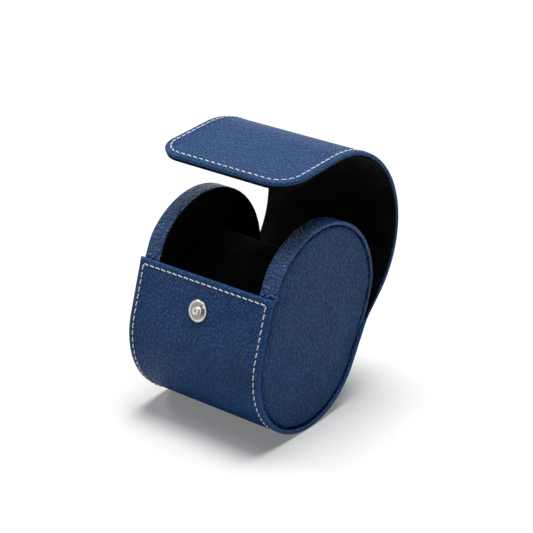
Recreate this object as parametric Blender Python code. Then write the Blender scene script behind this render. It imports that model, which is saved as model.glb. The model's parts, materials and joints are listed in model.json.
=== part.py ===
"""A leather travel case, open, leaning back on its round bottom.

A strip of leather over board runs down the front, round the bottom, up the back and on into the lid,
between two thick oval cheeks. The lid's flap snaps onto a stud on the front. A velvet pillow sits inside.
Every place is in the case's own upright section, with the origin at the bottom round's centre, X across,
Y to the back and Z up, and one empty leans the whole case back.
"""
import math

import bmesh
import bpy
from mathutils import Matrix, Vector

MM = 0.001

# The case's section
CASE_WIDTH = 73.0 * MM
BOTTOM_RADIUS = 36.4 * MM
TOP_RADIUS = 38.6 * MM
CENTRE_RISE = 21.3 * MM        # top round's centre above the bottom round's
FRONT_RISE = 25.7 * MM         # front panel's top edge above the bottom round's centre
LEAN = math.radians(17.5)

# Layers, from the outside in
LEATHER = 0.7 * MM
LAY_GAP = 0.25 * MM
BODY_BOARD = 0.9 * MM
BODY_LINING = 0.8 * MM
LID_BOARD = 0.7 * MM
LID_LINING = 0.9 * MM
HINGE_LINING = 0.6 * MM
LINING_MARGIN = 0.9 * MM       # bare turned leather beside the lid's lining
SIDE_GAP = 0.3 * MM

# The open lid, along its outer face from the hinge
HINGE_STRIP = 12.0 * MM
LID_STRAIGHT = 1.0 * MM
CROWN_SHARE = 89.6 / 139.6     # of the lid's turn, from the hinge to its crown
FLAP_TIP = 6.45 * MM           # from the snap's centre to the flap's free edge
FLAP_CORNER = 13.0 * MM
HINGE_FOLD = math.radians(-16.2)   # from the back panel to the open hinge strip
KNUCKLE_GAP = 0.3 * MM

# How far each bend turns from the open lid to the closed one
STRIP_CLOSES = math.radians(8.8)
LID_CLOSES = math.radians(28.4)
CROWN_CLOSES = math.radians(6.1)
FLAP_CLOSES = math.radians(25.093927)
FLAP_STANDOFF = 4.46 * MM      # the closed flap's face in front of the front panel's
SNAP_DROP = 14.35 * MM         # from the flap's bend down to the snap

# Cheeks
CHEEK_WIDTH = 8.6 * MM
CHEEK_GAP = 0.3 * MM           # between the wrap and a cheek's band
CROWN_BULGE = 1.15 * MM        # above the wrap the cheek's rim is this much fuller
BULGE_START = 9.0 * MM         # along the top round, from the hinge
BULGE_RUN = 12.0 * MM
BULGE_END = 1.1 * MM           # above the front panel's edge
BULGE_END_RUN = 12.0 * MM
BAND_RECESS = 0.5 * MM         # the band's outer edge inside the wrap's
BAND_TURN = 0.9 * MM           # width of the band's turned edge
BAND_ROUND = 0.3 * MM
GROOVE = 0.6 * MM
FACE_LEATHER = 0.7 * MM
FACE_RISE = 2.5 * MM           # the padded panel's crown above its seat
FACE_RECESS = 0.1 * MM
CHEEK_LINING = 0.6 * MM
# The padded panel's section: how far in from its edge, and how far up to the crown
FACE_INSET_SHARES = (0.0, 0.0, 0.07, 0.25, 0.6, 1.0)
FACE_RISE_SHARES = (0.0, 0.42, 0.68, 0.86, 0.97, 1.0)
FACE_SHOULDER = 15.0 * MM

# Pillow
PILLOW_DEPTH = 48.0 * MM
PILLOW_HEIGHT = 74.0 * MM
PILLOW_BACK = 0.8 * MM         # its middle behind the bottom round's centre
PILLOW_CLOTH = 0.9 * MM
PILLOW_END_CROWN = 1.4 * MM
PILLOW_END_RUN = 5.6 * MM      # from the seam in to the end's flat middle
END_SHOULDER_SHARE = 0.55
PILLOW_SEAM = 2.4 * MM         # how far the end seams draw the cover in
PILLOW_SIDES = 40
# The cover's section along the pillow: share of the half length, and share of the seam's draw
PILLOW_LENGTH_SHARES = (1.0, 0.97, 0.91, 0.8, 0.5)
PILLOW_DRAW_SHARES = (1.0, 0.5, 0.2, 0.05, 0.0)

# Snap
SNAP_BEVEL = 0.25 * MM
SNAP_ROUND = 0.12 * MM
STUD_RISE = 11.3 * MM          # above the bottom round's centre
STUD_FLANGE = 4.8 * MM
STUD_RIM = 0.95 * MM           # height of the flange's rim
STUD_RIM_WIDTH = 0.75 * MM
STUD_DISH = 0.45 * MM
STUD_NECK = 1.5 * MM
STUD_HEAD = 1.85 * MM
STUD_LIP = 0.5 * MM            # height of the thick end of the stud's head
STUD_HEIGHT = 2.3 * MM
STUD_HOLLOW = 0.75 * MM
STUD_HOLLOW_DEPTH = 1.0 * MM
STUD_SHANK = 1.2 * MM
EYELET_RADIUS = 4.2 * MM
EYELET_THICKNESS = 0.6 * MM
SOCKET_RADIUS = 4.3 * MM
SOCKET_BORE = 2.2 * MM
SOCKET_HEIGHT = 1.1 * MM
SPRING_GROOVE = 0.7 * MM       # how deep the ring spring's groove goes
SPRING_WIRE = 0.2 * MM
SPRING_OPENING = math.radians(24.0)
CAP_RADIUS = 3.4 * MM
CAP_THICKNESS = 0.55 * MM
HOLE_GAP = 0.3 * MM
ROUND_SIDES = 24
WIRE_SIDES = 6

FACET = math.radians(7.5)
SMOOTH_ANGLE = math.radians(40.0)
MERGE = 0.001 * MM
OVERRUN = 1.0 * MM

# Sizes that follow
TOP_SHIFT = TOP_RADIUS - BOTTOM_RADIUS
CENTRE_SPAN = math.hypot(TOP_SHIFT, CENTRE_RISE)
BACK_NORMAL = math.atan2(CENTRE_RISE, TOP_SHIFT) - math.acos(-TOP_SHIFT / CENTRE_SPAN)
BACK_LENGTH = math.sqrt(CENTRE_SPAN ** 2 - TOP_SHIFT ** 2)
BOTTOM_TURN = math.pi + BACK_NORMAL
TOP_TURN = math.pi - BACK_NORMAL
DOWN = -math.pi / 2
HINGE_HEADING = BOTTOM_TURN + DOWN + HINGE_FOLD
LID_TURN = (2 * math.pi + DOWN - HINGE_HEADING - STRIP_CLOSES - LID_CLOSES - CROWN_CLOSES
            - FLAP_CLOSES)
BACK_TURN = CROWN_SHARE * LID_TURN
FRONT_TURN = LID_TURN - BACK_TURN
EDGE_DEPTH = LEATHER + LAY_GAP + BODY_BOARD
LID_EDGE_DEPTH = LEATHER + LAY_GAP + LID_BOARD
CHEEK_INSET = EDGE_DEPTH + CHEEK_GAP
HALF_INSIDE = CASE_WIDTH / 2 - CHEEK_WIDTH


def stations(start, heading, runs):
    """Stations along a strip's outer face: distance, point (Y, Z) and heading, facet by facet."""
    found = [(0.0, Vector(start), heading)]
    for length, turn in runs:
        steps = max(1, round(abs(turn) / FACET))
        chord = length / steps
        if turn:
            chord = 2 * length / turn * math.sin(turn / steps / 2)
        for _ in range(steps):
            along, point, heading = found[-1]
            middle = heading + turn / steps / 2
            point = point + chord * Vector((math.cos(middle), math.sin(middle)))
            found.append((along + length / steps, point, heading + turn / steps))
    return found


def outward(heading):
    return Vector((math.sin(heading), -math.cos(heading)))


def direction(heading):
    return Vector((math.cos(heading), math.sin(heading)))


def arc_reach(heading, turn):
    """How far an arc reaches, for each unit of its radius."""
    end = heading + turn
    return Vector((math.sin(end) - math.sin(heading), math.cos(heading) - math.cos(end)))


def lid_to_fit(hinge):
    """The lid's radius, and its straight front's length, that bring the closed flap's bend over the snap."""
    heading = HINGE_HEADING + STRIP_CLOSES
    start = hinge + HINGE_STRIP * direction(heading)
    heading += LID_CLOSES
    start += LID_STRAIGHT * direction(heading)
    round_reach = arc_reach(heading, BACK_TURN)
    heading += BACK_TURN + CROWN_CLOSES
    round_reach += arc_reach(heading, FRONT_TURN)
    straight_reach = direction(heading + FRONT_TURN)
    reach = Vector((-BOTTOM_RADIUS - FLAP_STANDOFF, STUD_RISE + SNAP_DROP)) - start
    radius = reach.cross(straight_reach) / round_reach.cross(straight_reach)
    return radius, (reach - radius * round_reach).dot(straight_reach)


WRAP_PATH = stations((-BOTTOM_RADIUS, FRONT_RISE), DOWN,
                     [(FRONT_RISE, 0), (BOTTOM_RADIUS * BOTTOM_TURN, BOTTOM_TURN), (BACK_LENGTH, 0)])
LID_RADIUS, FRONT_STRAIGHT = lid_to_fit(WRAP_PATH[-1][1])
HINGE_PATH = stations(WRAP_PATH[-1][1], HINGE_HEADING, [(HINGE_STRIP, 0)])
LID_BACK_PATH = stations(HINGE_PATH[-1][1], HINGE_HEADING,
                         [(LID_STRAIGHT, 0), (LID_RADIUS * BACK_TURN, BACK_TURN)])
LID_FRONT_PATH = stations(LID_BACK_PATH[-1][1], LID_BACK_PATH[-1][2],
                          [(LID_RADIUS * FRONT_TURN, FRONT_TURN), (FRONT_STRAIGHT, 0)])
FLAP_PATH = stations(LID_FRONT_PATH[-1][1], LID_FRONT_PATH[-1][2], [(SNAP_DROP + FLAP_TIP, 0)])


def material(name, colour, roughness, metallic=0.0):
    made = bpy.data.materials.new(name)
    made.use_nodes = True
    shader = made.node_tree.nodes["Principled BSDF"]
    shader.inputs["Base Color"].default_value = (*colour, 1.0)
    shader.inputs["Roughness"].default_value = roughness
    shader.inputs["Metallic"].default_value = metallic
    return made


def finish(bm, name, finish_material, carrier):
    """Closes a bmesh into a named object under its carrier, with its faces pointing out."""
    bmesh.ops.remove_doubles(bm, verts=bm.verts, dist=MERGE)
    bmesh.ops.recalc_face_normals(bm, faces=bm.faces)
    mesh = bpy.data.meshes.new(name)
    bm.to_mesh(mesh)
    bm.free()
    mesh.materials.append(finish_material)
    mesh.shade_smooth()
    mesh.set_sharp_from_angle(angle=SMOOTH_ANGLE)
    made = bpy.data.objects.new(name, mesh)
    bpy.context.scene.collection.objects.link(made)
    made.parent = carrier
    made.location = -Vector(carrier["origin"])
    return made


def carrier_at(name, point, parent=None):
    """An empty on a bend's axis; what hangs from it is modelled in the case's section."""
    made = bpy.data.objects.new(name, None)
    bpy.context.scene.collection.objects.link(made)
    made["origin"] = (0.0, point[0], point[1])
    made.location = made["origin"]
    if parent:
        made.parent = parent
        made.location = Vector(made["origin"]) - Vector(parent["origin"])
    return made


def flat_outline(width, start, end, corner=0.0):
    """A sheet's outline laid flat, as (X, along); only the corners at its end are rounded."""
    half = width / 2
    points = [(-half, start), (half, start)]
    if not corner:
        return points + [(half, end), (-half, end)]
    steps = round(math.pi / 2 / FACET)
    for side, first in ((1, 0.0), (-1, math.pi / 2)):
        for step in range(steps + 1):
            angle = first + math.pi / 2 * step / steps
            points.append((side * (half - corner) + corner * math.cos(angle),
                           end - corner + corner * math.sin(angle)))
    return points


def bend(bm, path):
    """Lays a flat sheet (X, along, depth) onto a path, facet by facet."""
    for along, _, _ in path[1:-1]:
        geometry = bm.verts[:] + bm.edges[:] + bm.faces[:]
        bmesh.ops.bisect_plane(bm, geom=geometry, dist=MERGE, plane_co=(0, along, 0), plane_no=(0, 1, 0))
    for vert in bm.verts:
        x, along, depth = vert.co
        before = max(i for i in range(len(path) - 1) if i == 0 or path[i][0] <= along + MERGE)
        (s0, p0, h0), (s1, p1, h1) = path[before], path[before + 1]
        share = (along - s0) / (s1 - s0)
        point = p0.lerp(p1, share) - depth * outward(h0).lerp(outward(h1), share)
        vert.co = (x, point.x, point.y)


def extrude(bm, face, keep=False):
    """Extrudes a face in place and returns the new one; the old one goes unless it stays as a cap."""
    found = bmesh.ops.extrude_face_region(bm, geom=[face])["geom"]
    if not keep:
        bm.faces.remove(face)
    return next(part for part in found if isinstance(part, bmesh.types.BMFace))


def sheet(name, finish_material, carrier, path, outline, top, thickness, closes=(0.0, 0.0), pocket=None):
    """A sheet cut flat and bent onto a path. closes gives how far the bends at its two ends turn, which
    slopes its ends; pocket gives the wall and the floor's depth of a tray that holds a board."""
    bm = bmesh.new()
    face = bm.faces.new([bm.verts.new((x, along, top)) for x, along in outline])
    face = extrude(bm, face, keep=True)
    bmesh.ops.translate(bm, verts=face.verts, vec=(0, 0, thickness))
    if pocket:
        wall, floor = pocket
        bmesh.ops.inset_region(bm, faces=[face], thickness=wall, use_even_offset=True)
        face = extrude(bm, face)
        bmesh.ops.translate(bm, verts=face.verts, vec=(0, 0, floor - top - thickness))
    middle = path[-1][0] / 2
    for vert in bm.verts:
        slope = math.tan(closes[0] / 2) if vert.co.y < middle else -math.tan(closes[1] / 2)
        vert.co.y += slope * vert.co.z
    bend(bm, path)
    return finish(bm, name, finish_material, carrier)


def loft(name, finish_material, carrier, rings, hollow=False, mirrored=False):
    """Extrudes a closed ring through further rings; a hollow one ends on its first ring, uncapped."""
    bm = bmesh.new()
    side = -1 if mirrored else 1
    rings = [[Vector((side * x, y, z)) for x, y, z in ring] for ring in rings]
    first = face = bm.faces.new([bm.verts.new(point) for point in rings[0]])
    for ring in rings[1:]:
        face = extrude(bm, face, keep=face is first)
        for vert, point in zip(face.verts, ring):
            vert.co = point
    if hollow:
        bmesh.ops.delete(bm, geom=[first, face], context="FACES_ONLY")
    return finish(bm, name, finish_material, carrier)


def turned(name, finish_material, carrier, seat, profile):
    """Spins a profile of (radius, height) a full turn about the seat's Z."""
    bm = bmesh.new()
    verts = [bm.verts.new((radius, 0, height)) for radius, height in profile]
    edges = [bm.edges.new(pair) for pair in zip(verts, verts[1:])]
    if profile[0][0] and profile[-1][0]:
        edges.append(bm.edges.new((verts[-1], verts[0])))
    bmesh.ops.spin(bm, geom=verts + edges, cent=(0, 0, 0), axis=(0, 0, 1), angle=2 * math.pi,
                   steps=ROUND_SIDES, use_merge=True)
    bmesh.ops.transform(bm, matrix=seat, verts=bm.verts)
    return finish(bm, name, finish_material, carrier)


def seat_on(point, normal):
    """A seat on the section at X = 0, with its Z along the outward normal (Y, Z)."""
    up = Vector((0, normal.x, normal.y))
    across = Vector((1, 0, 0))
    turn = Matrix((across, up.cross(across), up)).transposed()
    return Matrix.Translation((0, point.x, point.y)) @ turn.to_4x4()


def bore(piece, carrier, seat, radius, low, high):
    """Cuts a round hole through a piece, along its seat's Z."""
    bm = bmesh.new()
    bmesh.ops.create_cone(bm, cap_ends=True, segments=ROUND_SIDES, radius1=radius, radius2=radius,
                          depth=high - low)
    bmesh.ops.transform(bm, matrix=seat @ Matrix.Translation((0, 0, (high + low) / 2)), verts=bm.verts)
    cutter = finish(bm, piece.name + "_cutter", piece.data.materials[0], carrier)
    cutter.hide_render = True
    cutter.display_type = "WIRE"
    cut = piece.modifiers.new("hole", "BOOLEAN")
    cut.operation = "DIFFERENCE"
    cut.object = cutter


def build_body(carrier, looks):
    length = WRAP_PATH[-1][0]
    end = length - KNUCKLE_GAP / 2
    closes = (0.0, STRIP_CLOSES)
    leather = sheet("body_leather", looks["leather"], carrier, WRAP_PATH,
                    flat_outline(CASE_WIDTH, 0, end), 0, EDGE_DEPTH, closes, (LEATHER, LEATHER))
    margin = LEATHER + LAY_GAP
    board = sheet("body_board", looks["board"], carrier, WRAP_PATH,
                  flat_outline(CASE_WIDTH - 2 * margin, margin, end - margin), margin, BODY_BOARD, closes)
    lining = sheet("body_lining", looks["velvet"], carrier, WRAP_PATH,
                   flat_outline(2 * (HALF_INSIDE - SIDE_GAP), margin, end),
                   EDGE_DEPTH + LAY_GAP, BODY_LINING, closes)
    seat = seat_on(Vector((-BOTTOM_RADIUS, STUD_RISE)), outward(DOWN))
    for piece, radius in ((leather, STUD_SHANK), (board, STUD_SHANK), (lining, EYELET_RADIUS)):
        bore(piece, carrier, seat, radius + HOLE_GAP, -EDGE_DEPTH - BODY_LINING - OVERRUN, OVERRUN)
    return seat


def build_stud(carrier, looks, seat):
    shank_end = -EDGE_DEPTH + LAY_GAP
    hollow_floor = STUD_HEIGHT - STUD_HOLLOW_DEPTH
    lip_low = STUD_HEIGHT - STUD_LIP
    profile = [(0, hollow_floor), (STUD_HOLLOW - SNAP_ROUND, hollow_floor),
               (STUD_HOLLOW, STUD_HEIGHT - SNAP_ROUND), (STUD_NECK - SNAP_BEVEL, STUD_HEIGHT),
               (STUD_HEAD - SNAP_ROUND, STUD_HEIGHT - SNAP_ROUND), (STUD_HEAD, lip_low),
               (STUD_NECK, lip_low - SNAP_BEVEL), (STUD_NECK, STUD_RIM),
               (STUD_NECK + SNAP_BEVEL, STUD_DISH + SNAP_ROUND), (STUD_HEAD + SNAP_BEVEL, STUD_DISH),
               ((STUD_HEAD + STUD_FLANGE) / 2, STUD_DISH + SNAP_ROUND),
               (STUD_FLANGE - STUD_RIM_WIDTH, STUD_RIM - SNAP_ROUND),
               (STUD_FLANGE - STUD_RIM_WIDTH / 2, STUD_RIM), (STUD_FLANGE, STUD_RIM - SNAP_BEVEL),
               (STUD_FLANGE, LAY_GAP), (STUD_SHANK, LAY_GAP), (STUD_SHANK, shank_end), (0, shank_end)]
    turned("snap_stud", looks["metal"], carrier, seat, profile)
    top = -EDGE_DEPTH - LAY_GAP
    low = top - EYELET_THICKNESS
    profile = [(0, top), (EYELET_RADIUS, top), (EYELET_RADIUS, low + SNAP_BEVEL),
               (EYELET_RADIUS - SNAP_BEVEL, low), (STUD_SHANK, low),
               (STUD_SHANK - SNAP_BEVEL, low + SNAP_BEVEL), (0, low + SNAP_BEVEL)]
    turned("stud_eyelet", looks["metal"], carrier, seat, profile)


def smooth(share):
    share = min(1.0, max(0.0, share))
    return share * share * (3 - 2 * share)


def cheek_outline():
    """The closed outline of the case's section, with the cheek's extra fullness at each station."""
    path = stations((-BOTTOM_RADIUS, 0), DOWN,
                    [(BOTTOM_RADIUS * BOTTOM_TURN, BOTTOM_TURN), (BACK_LENGTH, 0),
                     (TOP_RADIUS * TOP_TURN, TOP_TURN), (CENTRE_RISE, 0)])[:-1]
    hinge = BOTTOM_RADIUS * BOTTOM_TURN + BACK_LENGTH
    bare = TOP_RADIUS * math.asin((FRONT_RISE - CENTRE_RISE) / TOP_RADIUS)
    front = hinge + TOP_RADIUS * TOP_TURN - bare - BULGE_END
    return [(point, heading, CROWN_BULGE * smooth((along - hinge - BULGE_START) / BULGE_RUN)
             * smooth((front - along) / BULGE_END_RUN)) for along, point, heading in path]


def cheek_ring(outline, inset, x):
    """The cheek's outline drawn in by an inset, at one X."""
    ring = []
    for point, heading, bulge in outline:
        place = point - (inset - bulge) * outward(heading)
        ring.append((x, place.x, place.y))
    return ring


def build_cheek(carrier, looks, side):
    outline = cheek_outline()
    mirrored = side == "left"

    def ring(inset, x):
        return cheek_ring(outline, inset, x)

    outer = CASE_WIDTH / 2 - BAND_RECESS
    band_inside = CHEEK_INSET + LEATHER
    rings = [ring(CHEEK_INSET, HALF_INSIDE), ring(CHEEK_INSET, outer - BAND_ROUND),
             ring(CHEEK_INSET + BAND_ROUND, outer), ring(CHEEK_INSET + LEATHER + BAND_TURN, outer),
             ring(CHEEK_INSET + LEATHER + BAND_TURN, outer - LEATHER), ring(band_inside, outer - LEATHER),
             ring(band_inside, HALF_INSIDE), ring(CHEEK_INSET, HALF_INSIDE)]
    loft(side + "_cheek_band", looks["leather"], carrier, rings, hollow=True, mirrored=mirrored)

    seat = CASE_WIDTH / 2 - FACE_RECESS - FACE_RISE
    core_inset = band_inside + LAY_GAP
    core_low = HALF_INSIDE + CHEEK_LINING + LAY_GAP
    loft(side + "_cheek_board", looks["board"], carrier,
         [ring(core_inset, core_low), ring(core_inset, seat - LAY_GAP)], mirrored=mirrored)
    loft(side + "_cheek_lining", looks["velvet"], carrier,
         [ring(core_inset, HALF_INSIDE), ring(core_inset, HALF_INSIDE + CHEEK_LINING)], mirrored=mirrored)

    edge = CHEEK_INSET + LEATHER + BAND_TURN + GROOVE
    section = list(zip(FACE_INSET_SHARES, FACE_RISE_SHARES))
    under = FACE_RISE - FACE_LEATHER
    outside = [ring(edge + i * FACE_SHOULDER, seat + r * FACE_RISE) for i, r in section]
    inside = [ring(edge + FACE_LEATHER + i * FACE_SHOULDER, seat + r * under) for i, r in section]
    loft(side + "_cheek_face", looks["leather"], carrier, inside[::-1] + outside, mirrored=mirrored)
    under -= LAY_GAP
    filling = [ring(edge + FACE_LEATHER + LAY_GAP + i * FACE_SHOULDER, seat + r * under) for i, r in section]
    loft(side + "_cheek_pad", looks["foam"], carrier, filling, mirrored=mirrored)


def pillow_ring(draw, x, lift):
    """The pillow's oval drawn in all round by a length."""
    ring = []
    for step in range(PILLOW_SIDES):
        angle = 2 * math.pi * step / PILLOW_SIDES
        ring.append((x, PILLOW_BACK + (PILLOW_DEPTH / 2 - draw) * math.cos(angle),
                     lift + (PILLOW_HEIGHT / 2 - draw) * math.sin(angle)))
    return ring


def build_pillow(carrier, looks):
    floor = -BOTTOM_RADIUS + EDGE_DEPTH + LAY_GAP + BODY_LINING
    lift = floor + SIDE_GAP + PILLOW_HEIGHT / 2
    half = HALF_INSIDE - SIDE_GAP - PILLOW_END_CROWN
    half_section = [(share * half, draw * PILLOW_SEAM)
                    for share, draw in zip(PILLOW_LENGTH_SHARES, PILLOW_DRAW_SHARES)]
    section = [(-x, draw) for x, draw in half_section] + half_section[::-1]
    rings = [pillow_ring(draw, x, lift) for x, draw in section]
    rings += [pillow_ring(draw + PILLOW_CLOTH, x, lift) for x, draw in section[::-1]]
    loft("pillow_cover", looks["velvet"], carrier, rings + rings[:1], hollow=True)

    inside = PILLOW_CLOTH + LAY_GAP
    end_low = half - 2 * PILLOW_CLOTH
    ends = [(x, draw) for x, draw in section if abs(x) < end_low - LAY_GAP]
    ends = [(-end_low + LAY_GAP, PILLOW_SEAM)] + ends + [(end_low - LAY_GAP, PILLOW_SEAM)]
    loft("pillow_core", looks["foam"], carrier, [pillow_ring(draw + inside, x, lift) for x, draw in ends])
    draw = PILLOW_SEAM + inside
    crown = half + PILLOW_END_CROWN
    cap = [pillow_ring(draw, end_low, lift), pillow_ring(draw, half, lift),
           pillow_ring(draw + PILLOW_END_CROWN, half + END_SHOULDER_SHARE * PILLOW_END_CROWN, lift),
           pillow_ring(draw + PILLOW_END_RUN, crown, lift)]
    for side in ("left", "right"):
        loft("pillow_end_" + side, looks["velvet"], carrier, cap, mirrored=side == "left")


def lid_shell(name, carrier, looks, path, closes, corner=0.0):
    """Leather turned over a board, and the lining that covers the board."""
    start = KNUCKLE_GAP / 2
    end = path[-1][0] - (0 if corner else KNUCKLE_GAP / 2)
    leather = sheet(name + "_leather", looks["leather"], carrier, path,
                    flat_outline(CASE_WIDTH, start, end, corner), 0, LID_EDGE_DEPTH, closes,
                    (LEATHER, LEATHER))
    margin = LEATHER + LAY_GAP
    board = sheet(name + "_board", looks["board"], carrier, path,
                  flat_outline(CASE_WIDTH - 2 * margin, start + margin, end - margin,
                               max(0, corner - margin)), margin, LID_BOARD, closes)
    tip = LINING_MARGIN if corner else 0
    lining = sheet(name + "_lining", looks["velvet"], carrier, path,
                   flat_outline(CASE_WIDTH - 2 * LINING_MARGIN, start, end - tip, max(0, corner - tip)),
                   LID_EDGE_DEPTH + LAY_GAP, LID_LINING, closes)
    return leather, board, lining


def build_hinge(carrier, looks):
    """The strip of bare leather and thin lining that lets the lid swing."""
    closes = (STRIP_CLOSES, LID_CLOSES)
    start, end = KNUCKLE_GAP / 2, HINGE_STRIP - KNUCKLE_GAP / 2
    sheet("hinge_leather", looks["leather"], carrier, HINGE_PATH,
          flat_outline(CASE_WIDTH, start, end), 0, LEATHER, closes)
    sheet("hinge_lining", looks["velvet"], carrier, HINGE_PATH,
          flat_outline(CASE_WIDTH - 2 * LINING_MARGIN, start, end), LEATHER + LAY_GAP, HINGE_LINING, closes)


def build_flap(carrier, looks):
    leather, board, lining = lid_shell("flap", carrier, looks, FLAP_PATH, (FLAP_CLOSES, 0.0), FLAP_CORNER)
    heading = FLAP_PATH[0][2]
    seat = seat_on(FLAP_PATH[0][1] + SNAP_DROP * direction(heading), outward(heading))
    low = -LID_EDGE_DEPTH - LID_LINING - OVERRUN
    bore(board, carrier, seat, CAP_RADIUS + HOLE_GAP, low, OVERRUN)
    bore(lining, carrier, seat, SOCKET_RADIUS + HOLE_GAP, low, OVERRUN)
    return seat


def build_socket(carrier, looks, seat):
    top = -LEATHER - LAY_GAP
    low = top - CAP_THICKNESS
    turned("socket_cap", looks["metal"], carrier, seat,
           [(0, top), (CAP_RADIUS - SNAP_BEVEL, top), (CAP_RADIUS, top - SNAP_BEVEL), (CAP_RADIUS, low),
            (0, low)])
    top = -LID_EDGE_DEPTH - LAY_GAP
    low = top - SOCKET_HEIGHT
    spring_height = (top + low) / 2
    half_groove = SPRING_WIRE + LAY_GAP / 2
    groove = SOCKET_BORE + SPRING_GROOVE
    turned("snap_socket", looks["metal"], carrier, seat,
           [(SOCKET_BORE, top), (SOCKET_RADIUS, top), (SOCKET_RADIUS, low + SNAP_BEVEL),
            (SOCKET_RADIUS - SNAP_BEVEL, low), (SOCKET_BORE + SNAP_ROUND, low),
            (SOCKET_BORE, low + SNAP_ROUND), (SOCKET_BORE, spring_height - half_groove),
            (groove, spring_height - half_groove), (groove, spring_height + half_groove),
            (SOCKET_BORE, spring_height + half_groove)])
    bm = bmesh.new()
    radius = SOCKET_BORE + SPRING_GROOVE / 2
    round_wire = []
    for step in range(WIRE_SIDES):
        angle = 2 * math.pi * step / WIRE_SIDES
        round_wire.append(bm.verts.new((radius + SPRING_WIRE * math.cos(angle), 0,
                                        spring_height + SPRING_WIRE * math.sin(angle))))
    face = bm.faces.new(round_wire)
    bmesh.ops.spin(bm, geom=[face], cent=(0, 0, 0), axis=(0, 0, 1),
                   angle=2 * math.pi - SPRING_OPENING, steps=ROUND_SIDES)
    bmesh.ops.transform(bm, matrix=seat, verts=bm.verts)
    finish(bm, "socket_spring", looks["metal"], carrier)


def stand_on_floor(case):
    """Sets the leaning case down so that the middle of its box's bottom is the origin."""
    bpy.context.view_layer.update()
    corners = [piece.matrix_world @ vert.co for piece in bpy.data.objects
               if piece.type == "MESH" and not piece.hide_render for vert in piece.data.vertices]
    low = Vector([min(corner[i] for corner in corners) for i in range(3)])
    high = Vector([max(corner[i] for corner in corners) for i in range(3)])
    case.location -= Vector(((low.x + high.x) / 2, (low.y + high.y) / 2, low.z))
    bpy.context.view_layer.update()


def main():
    for old in list(bpy.data.objects):
        bpy.data.objects.remove(old, do_unlink=True)
    looks = {
        "leather": material("leather", (0.022, 0.07, 0.21), 0.45),
        "velvet": material("velvet", (0.006, 0.006, 0.008), 0.9),
        "board": material("board", (0.33, 0.29, 0.24), 0.8),
        "foam": material("foam", (0.55, 0.53, 0.48), 0.9),
        "metal": material("metal", (0.62, 0.6, 0.56), 0.25, 1.0),
    }
    case = carrier_at("case", (0.0, 0.0))
    stud_seat = build_body(case, looks)
    build_stud(case, looks, stud_seat)
    for side in ("left", "right"):
        build_cheek(case, looks, side)
    build_pillow(case, looks)

    strip = carrier_at("strip_bend", HINGE_PATH[0][1], case)
    build_hinge(strip, looks)
    back = carrier_at("lid_hinge", LID_BACK_PATH[0][1], strip)
    lid_shell("lid_back", back, looks, LID_BACK_PATH, (LID_CLOSES, CROWN_CLOSES))
    front = carrier_at("crown_bend", LID_FRONT_PATH[0][1], back)
    lid_shell("lid_front", front, looks, LID_FRONT_PATH, (CROWN_CLOSES, FLAP_CLOSES))
    flap = carrier_at("flap_bend", FLAP_PATH[0][1], front)
    build_socket(flap, looks, build_flap(flap, looks))

    case.rotation_euler.x = -LEAN
    stand_on_floor(case)


main()
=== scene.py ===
"""Dresses the leather travel case: grained leather, velvet, sewing, snap, padded cheeks and pillow."""
import json
import math
from functools import partial

import bmesh
import bpy
from bpy.props import FloatProperty, FloatVectorProperty, IntProperty, PointerProperty
from mathutils import Matrix, Vector


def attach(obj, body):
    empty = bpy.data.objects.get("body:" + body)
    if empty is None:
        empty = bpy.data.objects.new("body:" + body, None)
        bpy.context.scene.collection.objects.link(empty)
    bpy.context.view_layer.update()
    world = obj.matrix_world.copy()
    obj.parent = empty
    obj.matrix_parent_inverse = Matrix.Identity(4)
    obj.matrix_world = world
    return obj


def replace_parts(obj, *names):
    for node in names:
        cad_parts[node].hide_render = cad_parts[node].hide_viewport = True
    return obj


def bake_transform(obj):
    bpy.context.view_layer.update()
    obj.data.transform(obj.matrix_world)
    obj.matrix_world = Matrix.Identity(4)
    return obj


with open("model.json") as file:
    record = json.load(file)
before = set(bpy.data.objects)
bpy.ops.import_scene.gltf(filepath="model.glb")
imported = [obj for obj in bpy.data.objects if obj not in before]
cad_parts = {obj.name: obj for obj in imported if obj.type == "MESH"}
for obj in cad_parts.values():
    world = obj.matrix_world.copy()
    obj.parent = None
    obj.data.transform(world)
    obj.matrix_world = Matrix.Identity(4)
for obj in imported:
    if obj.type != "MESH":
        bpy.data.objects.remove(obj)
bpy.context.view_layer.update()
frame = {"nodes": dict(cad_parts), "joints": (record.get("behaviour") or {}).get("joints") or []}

bl_info = {
    "name": "Leather Travel Case",
    "version": (1, 0, 0),
    "blender": (4, 5, 0),
    "location": "View3D > Sidebar > Travel Case",
    "description": "Makes a snap-closed leather travel case with its sewing, velvet and padding",
    "category": "Object",
}

MM = 0.001
FACET = math.radians(2.0)
SHARP = math.radians(40.0)
STATION = 1.3 * MM
WELD = 0.001 * MM


def length(name, description, millimetres):
    return FloatProperty(name=name, description=description, default=millimetres * MM, unit="LENGTH",
                         subtype="DISTANCE", precision=4)


def angle(name, description, degrees):
    return FloatProperty(name=name, description=description, default=math.radians(degrees),
                         unit="ROTATION", subtype="ANGLE")


def colour(name, description, rgb):
    return FloatVectorProperty(name=name, description=description, default=rgb, subtype="COLOR",
                               size=3, min=0.0, max=1.0)


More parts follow.
